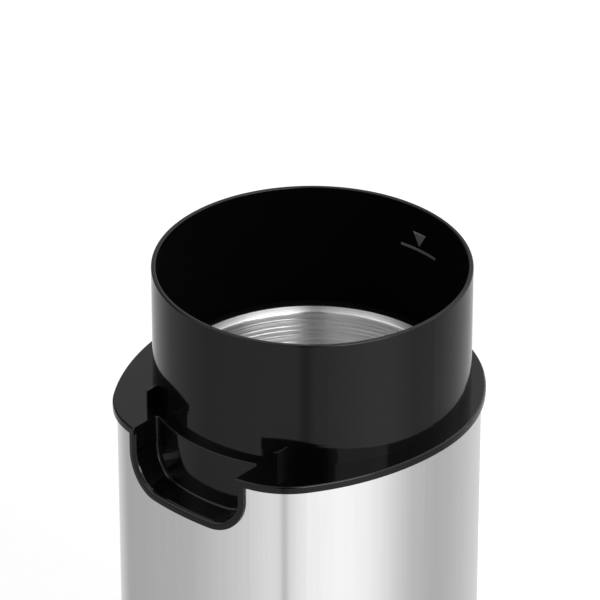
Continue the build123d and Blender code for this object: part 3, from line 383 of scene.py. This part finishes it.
def set_inputs(made, values):
    """Sets a node's inputs by their labels."""
    for label, value in values.items():
        made.inputs[label].default_value = value


def blend_colours(tree, factor, first, second):
    """The first colour where the factor is 0, the second where it is 1."""
    return node(tree, "Mix", [(0, factor), (6, first), (7, second)], data_type="RGBA").outputs[2]


def blend_values(tree, factor, first, second):
    """The first value where the factor is 0, the second where it is 1."""
    return node(tree, "Mix", [(0, factor), (2, first), (3, second)], data_type="FLOAT").outputs[0]


def maths(tree, operation, first, second):
    """One step of arithmetic."""
    return node(tree, "Math", [(0, first), (1, second)], operation=operation).outputs[0]


def rescale(tree, value, low, high, new_low=0.0, new_high=1.0):
    """Carries a value from one range to another, and stops at its ends."""
    ends = [(1, low), (2, high), (3, new_low), (4, new_high)]
    return node(tree, "MapRange", [("Value", value)] + ends).outputs[0]


def noise(tree, place, scale, detail):
    """Soft noise from 0 to 1, with finer noise on top as detail goes up."""
    links = [("Vector", place), ("Scale", scale), ("Detail", detail)]
    return node(tree, "TexNoise", links).outputs["Fac"]


# %% Build the node groups
broad_share = 0.06
broad_ends = (0.3, 0.7)
streak_widening = (0.17, 0.17, 0.3)
streak_ends = (0.6, 1.4)


def new_group(name, inputs):
    """A shader node group that takes (label, kind, default) inputs and puts out a surface."""
    tree = bpy.data.node_groups.new(name, "ShaderNodeTree")
    for label, kind, default in inputs:
        socket = tree.interface.new_socket(label, in_out="INPUT", socket_type="NodeSocket" + kind)
        socket.default_value = default
    for label, kind in (("Colour", "Color"), ("Roughness", "Float"), ("Height", "Float")):
        tree.interface.new_socket(label, in_out="OUTPUT", socket_type="NodeSocket" + kind)
    return tree, tree.nodes.new("NodeGroupInput").outputs, tree.nodes.new("NodeGroupOutput").inputs


def put_out(tree, result, colour, gloss, height):
    """Joins what a group has worked out to its outputs."""
    tree.links.new(colour, result["Colour"])
    tree.links.new(gloss, result["Roughness"])
    tree.links.new(height, result["Height"])


def make_moulded_skin():
    """Mottle: two noises of different size blend a darker and a lighter colour and vary the gloss."""
    tree, given, result = new_group(
        "Moulded skin",
        [("Dark", "Color", (0.004, 0.004, 0.004, 1)), ("Light", "Color", (0.01, 0.01, 0.01, 1)),
         ("Smooth", "Float", 0.1), ("Rough", "Float", 0.2), ("Scale", "Float", 400.0)])
    place = node(tree, "TexCoord").outputs["Object"]
    fine = noise(tree, place, given["Scale"], detail=4.0)
    broad_scale = maths(tree, "MULTIPLY", given["Scale"], broad_share)
    broad = noise(tree, place, broad_scale, detail=3.0)
    colour = blend_colours(tree, maths(tree, "MULTIPLY", fine, broad), given["Dark"], given["Light"])
    gloss = rescale(tree, broad, *broad_ends, given["Smooth"], given["Rough"])
    put_out(tree, result, colour, gloss, fine)
    return tree


def make_drawn_grain():
    """Streaks: noise on coordinates that are stretched along the grain, in two widths."""
    tree, given, result = new_group(
        "Drawn grain",
        [("Vector", "Vector", (0, 0, 0)),
         ("Dark", "Color", (0.6, 0.6, 0.6, 1)), ("Light", "Color", (0.8, 0.8, 0.8, 1)),
         ("Smooth", "Float", 0.15), ("Rough", "Float", 0.25)])
    fine = noise(tree, given["Vector"], scale=1.0, detail=2.0)
    widened = node(tree, "VectorMath", [(0, given["Vector"]), (1, streak_widening)], operation="MULTIPLY")
    wide = noise(tree, widened.outputs[0], scale=1.0, detail=3.0)
    share = rescale(tree, maths(tree, "ADD", fine, wide), *streak_ends)
    colour = blend_colours(tree, share, given["Dark"], given["Light"])
    gloss = rescale(tree, share, 0.0, 1.0, given["Smooth"], given["Rough"])
    put_out(tree, result, colour, gloss, fine)
    return tree


moulded_skin = make_moulded_skin()
drawn_grain = make_drawn_grain()
print("node groups:", moulded_skin.name, "and", drawn_grain.name)

# %% [markdown]
# ## Finishes
# Plastics and rubbers use the moulded skin, metals the drawn grain. What differs is the colour, the
# gloss, and for metals the way the grain runs: up the sleeve, round the bowl, along a shaft. Rings of
# grain also stretch the reflections across themselves, which is anisotropy.


# %% Helpers that make a finish
def new_material(name):
    """A material with its default tree, and the Principled BSDF in it."""
    material = bpy.data.materials.new(name)
    material.use_nodes = True
    return material, material.node_tree, material.node_tree.nodes["Principled BSDF"]


def use_group(tree, shader, group, values, bump, depth):
    """Places a group, sets its values and joins its outputs to the shader, with a bump of some depth."""
    placed = tree.nodes.new("ShaderNodeGroup")
    placed.node_tree = group
    set_inputs(placed, values)
    tree.links.new(placed.outputs["Colour"], shader.inputs["Base Color"])
    tree.links.new(placed.outputs["Roughness"], shader.inputs["Roughness"])
    height = placed.outputs["Height"]
    relief = node(tree, "Bump", [("Height", height), ("Strength", bump), ("Distance", depth)])
    tree.links.new(relief.outputs["Normal"], shader.inputs["Normal"])
    return placed


def grey(value, tint=(1, 1, 1)):
    """A colour from a brightness and a slight tint."""
    return (value * tint[0], value * tint[1], value * tint[2], 1)


def round_axis(tree):
    """The distance from the drive axis and the height, of a point in Object coordinates."""
    place = node(tree, "TexCoord").outputs["Object"]
    centred = node(tree, "VectorMath", [(0, place), (1, (axis_x, axis_y, 0))], operation="SUBTRACT")
    apart = node(tree, "SeparateXYZ", [(0, centred.outputs[0])]).outputs
    flat = node(tree, "CombineXYZ", [(0, apart[0]), (1, apart[1])]).outputs[0]
    return node(tree, "VectorMath", [(0, flat)], operation="LENGTH").outputs["Value"], apart[2]


# %% Make a plastic and a metal
skin_depth = 0.05 * MM
grain_depth = 0.02 * MM
quarter_turn = 0.25


def plastic(name, dark, light, smooth, rough, scale, bump, ior=1.45):
    """Moulded plastic or rubber: mottled dark to light, smooth to rough, with a skin of fine bumps."""
    material, tree, shader = new_material(name)
    set_inputs(shader, {"IOR": ior})
    values = {"Dark": dark, "Light": light, "Smooth": smooth, "Rough": rough, "Scale": scale}
    use_group(tree, shader, moulded_skin, values, bump, skin_depth)
    return material


def metal(name, dark, light, smooth, rough, stretch, bump, spun=False):
    """Metal with a grain: stretch scales x, y and z. Spun metal has its grain in rings round the drive
    axis, on (distance, 0, height), and stretches its reflections across the rings."""
    material, tree, shader = new_material(name)
    set_inputs(shader, {"Metallic": 1.0})
    if spun:
        set_inputs(shader, {"Anisotropic": 1.0, "Anisotropic Rotation": quarter_turn})
        round_way = node(tree, "Tangent", direction_type="RADIAL", axis="Z")
        tree.links.new(round_way.outputs[0], shader.inputs["Tangent"])
        distance, height = round_axis(tree)
        place = node(tree, "CombineXYZ", [(0, distance), (2, height)]).outputs[0]
    else:
        place = node(tree, "TexCoord").outputs["Object"]
    scaled = node(tree, "Mapping", [("Vector", place), ("Scale", stretch)])
    values = {"Dark": dark, "Light": light, "Smooth": smooth, "Rough": rough}
    placed = use_group(tree, shader, drawn_grain, values, bump, grain_depth)
    tree.links.new(scaled.outputs[0], placed.inputs["Vector"])
    return material


# %% [markdown]
# The housing is one moulding with two finishes: polished outside, and a dull black inside the collar,
# where beans would scratch a polish. The polish is a clear coat over the dull black, and a mask from
# the distance to the drive axis and the height takes it away within the collar. The weight of a coat
# may change over a surface and still reach the exported model, which a reflection level may not.

# %% Make the housing's finish
dull_r = collar_in_r + 0.05 * MM
dull_from_z = 120 * MM


def within_collar(tree):
    """1 inside the collar's bore, from below the bowl's ledge upwards, and 0 elsewhere."""
    distance, height = round_axis(tree)
    inside = maths(tree, "LESS_THAN", distance, dull_r)
    above = maths(tree, "GREATER_THAN", height, dull_from_z)
    return maths(tree, "MULTIPLY", inside, above)


def two_finish_black():
    """Dull black with little reflection, under a polished coat that ends at the collar's bore."""
    material = plastic("Polished black", grey(0.001), grey(0.002), 0.55, 0.65, 900, 0.003)
    tree = material.node_tree
    shader = tree.nodes["Principled BSDF"]
    set_inputs(shader, {"Specular IOR Level": 0.03, "Coat Roughness": 0.07, "Coat IOR": 1.36})
    polish = blend_values(tree, within_collar(tree), 1.0, 0.0)
    tree.links.new(polish, shader.inputs["Coat Weight"])
    return material


housing_black = two_finish_black()
print("housing:", housing_black.name, "outside a radius of", round(dull_r / MM, 2), "mm")

# %% Make the finishes of plastic, rubber and carbon
TAN = (1, 0.83, 0.61)
AMBER = (1, 0.81, 0.22)
finishes = {
    "housing_black": housing_black,
    "base_black": plastic("Satin black", grey(0.008), grey(0.016), 0.3, 0.42, 1500, 0.12),
    "carrier_grey": plastic("Moulded grey", grey(0.12), grey(0.18), 0.4, 0.5, 900, 0.1),
    "rubber_black": plastic("Foot rubber", grey(0.012), grey(0.022), 0.6, 0.75, 1800, 0.2),
    "seal_rubber": plastic("Seal rubber", grey(0.003), grey(0.006), 0.6, 0.7, 1600, 0.15, ior=1.15),
    "insulation_plastic": plastic("Insulator", grey(0.3, TAN), grey(0.42, TAN), 0.35, 0.5, 900, 0.1),
    "switch_plastic": plastic("Switch case", grey(0.02), grey(0.04), 0.3, 0.42, 1200, 0.1),
    "capacitor_case": plastic("Capacitor case", grey(0.5, AMBER), grey(0.62, AMBER), 0.3, 0.4, 700, 0.05),
    "carbon": plastic("Carbon", grey(0.015), grey(0.03), 0.45, 0.6, 2200, 0.15),
}
mark_ink = plastic("Pad-printed ink", grey(0.13), grey(0.19), 0.45, 0.55, 1500, 0.05)
print("plastics, rubbers and ink:", len(finishes) + 1)

# %% Make the finishes of metal
COOL = (0.97, 1, 1.03)
COPPER = (1, 0.44, 0.22)
ROSE = (1, 0.58, 0.43)
BRONZE = (1, 0.74, 0.42)
BRASS = (1, 0.84, 0.45)
EVEN = (900, 900, 900)
RINGS = (2400, 2400, 2400)
finishes.update({
    "sleeve_steel": metal("Brushed steel", grey(0.83), grey(0.87), 0.14, 0.18, (2600, 2600, 30), 0.012),
    "bowl_steel": metal("Spun steel", grey(0.60), grey(0.97), 0.27, 0.34, RINGS, 0.12, spun=True),
    "blade_steel": metal("Ground steel", grey(0.42), grey(0.60), 0.28, 0.42, (120, 2200, 900), 0.04),
    "shaft_steel": metal("Turned steel", grey(0.5), grey(0.66), 0.2, 0.32, (400, 400, 2400), 0.05),
    "screw_steel": metal("Zinced steel", grey(0.5, COOL), grey(0.68, COOL), 0.25, 0.38, EVEN, 0.05),
    "spring_steel": metal("Spring wire", grey(0.42), grey(0.6), 0.22, 0.34, EVEN, 0.04),
    "lamination_steel": metal("Lamination steel", grey(0.18), grey(0.4), 0.35, 0.5, (60, 60, 2000), 0.3),
    "bracket_cast": metal("Cast alloy", grey(0.42), grey(0.58), 0.4, 0.55, EVEN, 0.15),
    "winding_copper": metal("Enamelled copper", grey(0.55, COPPER), grey(0.75, COPPER), 0.25, 0.4,
                            (300, 300, 2400), 0.3),
    "commutator_copper": metal("Bare copper", grey(0.7, ROSE), grey(0.85, ROSE), 0.2, 0.3,
                               (300, 300, 2000), 0.05),
    "bearing_bronze": metal("Sintered bronze", grey(0.4, BRONZE), grey(0.55, BRONZE), 0.35, 0.5, EVEN, 0.1),
    "terminal_brass": metal("Brass", grey(0.6, BRASS), grey(0.75, BRASS), 0.2, 0.3, EVEN, 0.04),
})
print("finishes:", len(finishes) + 1)


# %% Put the finishes on the pieces
def paint(piece, material):
    """Gives a piece one material in place of those that it came with."""
    piece.data.materials.clear()
    piece.data.materials.append(material)


for entry in frame["record"]["subparts"]:
    paint(frame["nodes"][entry["node"]], finishes[entry["material_slot"]])
own_finishes = [(bowl, finishes["bowl_steel"]), (edge_seal, finishes["seal_rubber"]),
                (fill_mark, mark_ink), (return_spring, finishes["spring_steel"])]
for piece, material in own_finishes:
    paint(piece, material)
print("painted:", len(frame["nodes"]), "nodes and", len(own_finishes), "pieces")

# %% [markdown]
# ## Studio
# The object stands on a pale floor under two soft lamps, a large one over its back and a smaller one
# at its right. What a polished wall shows is the room round it, and seen from above, an upright wall
# mirrors what lies low in the room. So the world is a ring of bright and dim cards: its brightness
# depends on the compass direction that a mirrored ray goes in. A second ring stands over the horizon,
# for the bowl. The floor lets mirrored rays through to the cards. To the camera, room and floor are
# white. A long lens from over a metre away keeps the uprights nearly parallel, as product pictures do.

# %% Set up the cards
# Compass directions in degrees, from the pocket's side (-Y) round towards +X, with their brightness
CARDS = [(-180, 0.65), (-130, 0.80), (-100, 0.60), (-80, 0.42), (-40, 0.49), (-13, 0.71), (10, 0.80),
         (31, 0.82), (36, 0.49), (39, 0.52), (44, 0.80), (52, 0.86), (70, 1.00), (85, 1.10), (100, 1.00),
         (109, 0.82), (121, 0.58), (138, 0.48), (166, 0.58), (180, 0.65)]
HIGH_CARDS = [(-180, 1.0), (-138, 0.66), (-110, 0.30), (-85, 0.12), (-66, 0.12), (-44, 1.7), (-30, 1.5),
              (-19, 1.4), (-5, 0.9), (28, 0.5), (32, 0.02), (51, 0.02), (57, 2.0), (98, 2.0), (118, 1.5),
              (140, 1.5), (165, 1.6), (180, 1.0)]
BRIGHTEST = 2.4
HIGH_FROM = 0.3
ROOM_LEVEL = 0.32
WHITE = (1, 1, 1, 1)


def card_ring(tree, turn, cards):
    """Brightness round the compass: a ramp of greys, whose white stands for the brightest level."""
    made = node(tree, "ValToRGB", [("Fac", turn)])
    elements = made.color_ramp.elements
    while len(elements) < len(cards):
        elements.new(0.5)
    for element, (direction, brightness) in zip(elements, cards):
        element.position = (direction + 180) / 360
        element.color = grey(brightness / BRIGHTEST)
    return maths(tree, "MULTIPLY", made.outputs["Color"], BRIGHTEST)


print("cards:", len(CARDS), "low and", len(HIGH_CARDS), "high")


# %% Set the room
def light_room(tree):
    """White to the camera, the cards to mirrored rays, and one plain level to all other light. From
    the horizon up to a rise of HIGH_FROM, the high cards take over from the low ones."""
    way = node(tree, "SeparateXYZ", [(0, node(tree, "TexCoord").outputs["Generated"])]).outputs
    compass = maths(tree, "ARCTAN2", way[0], maths(tree, "MULTIPLY", way[1], -1.0))
    turn = rescale(tree, compass, -math.pi, math.pi)
    rise = rescale(tree, way[2], 0.0, HIGH_FROM)
    mirrored = blend_values(tree, rise, card_ring(tree, turn, CARDS), card_ring(tree, turn, HIGH_CARDS))
    path = node(tree, "LightPath").outputs
    lit = blend_values(tree, path["Is Glossy Ray"], ROOM_LEVEL, mirrored)
    seen = maths(tree, "MAXIMUM", path["Is Camera Ray"], path["Is Transmission Ray"])
    room = tree.nodes["Background"].inputs
    tree.links.new(blend_values(tree, seen, lit, 1.0), room["Strength"])
    room["Color"].default_value = WHITE


world = bpy.data.worlds.new("Studio")
world.use_nodes = True
light_room(world.node_tree)
bpy.context.scene.world = world
print("room:", len(world.node_tree.nodes), "nodes")

# %% Lay the floor
floor_half = 6.0
floor_gap = 0.2 * MM
floor_glow = 0.6
ground_z = cad_box[0][2] - floor_gap
floor_corners = np.array([[-1, -1, 0], [1, -1, 0], [1, 1, 0], [-1, 1, 0]], float) * floor_half
floor_corners[:, 2] = ground_z
floor_mesh = bpy.data.meshes.new("floor")
floor_mesh.from_pydata(floor_corners, [], [[0, 1, 2, 3]])
floor = bpy.data.objects.new("floor", floor_mesh)
bpy.context.collection.objects.link(floor)


def pale_floor():
    """A dull pale paint that glows a little to the camera and isn't there for mirrored rays."""
    material, tree, shader = new_material("Pale floor")
    set_inputs(shader, {"Base Color": grey(0.8), "Roughness": 0.9, "Specular IOR Level": 0.0,
                        "Emission Color": WHITE})
    path = node(tree, "LightPath").outputs
    glow = maths(tree, "MULTIPLY", path["Is Camera Ray"], floor_glow)
    tree.links.new(glow, shader.inputs["Emission Strength"])
    clear = node(tree, "BsdfTransparent").outputs[0]
    pick = node(tree, "MixShader", [(0, path["Is Glossy Ray"]), (1, shader.outputs[0]), (2, clear)])
    tree.links.new(pick.outputs[0], tree.nodes["Material Output"].inputs["Surface"])
    return material


paint(floor, pale_floor())
print("floor at", round(ground_z / MM, 2), "mm")

# %% Hang the lamps
lamp_aim = Vector((0, 0, 130)) * MM


def compass_way(azimuth, elevation):
    """The direction from the object to a place: degrees from -Y round towards +X, and degrees up."""
    a, e = math.radians(azimuth), math.radians(elevation)
    return Vector((math.sin(a) * math.cos(e), -math.cos(a) * math.cos(e), math.sin(e)))


def soft_box(name, azimuth, elevation, distance, width, height, energy):
    """A rectangular lamp that looks at the collar."""
    data = bpy.data.lights.new(name, "AREA")
    data.shape = "RECTANGLE"
    data.size = width
    data.size_y = height
    data.energy = energy
    lamp = bpy.data.objects.new(name, data)
    bpy.context.collection.objects.link(lamp)
    way = compass_way(azimuth, elevation)
    lamp.location = lamp_aim + way * distance
    lamp.rotation_euler = (-way).to_track_quat("-Z", "Y").to_euler()
    print(f"{name}: {energy} W at", [round(c, 2) for c in lamp.location])


soft_box("top_box", azimuth=-138, elevation=72, distance=1.05, width=1.1, height=0.9, energy=2.6)
soft_box("side_box", azimuth=78, elevation=32, distance=1.3, width=0.75, height=0.5, energy=6.5)

# %% Set the camera
view_azimuth = 42
view_elevation = 30.35
view_distance = 1.29
look_at = Vector((-4.8, 3.6, 152.07)) * MM
camera_data = bpy.data.cameras.new("camera")
camera_data.lens = 295.4
camera_data.sensor_width = 36
camera = bpy.data.objects.new("camera", camera_data)
bpy.context.collection.objects.link(camera)
away = compass_way(view_azimuth, view_elevation)
camera.location = look_at + away * view_distance
camera.rotation_euler = (-away).to_track_quat("-Z", "Y").to_euler()
bpy.context.scene.camera = camera
bpy.context.scene.view_settings.view_transform = "Standard"
print("camera at", [round(c, 3) for c in camera.location])
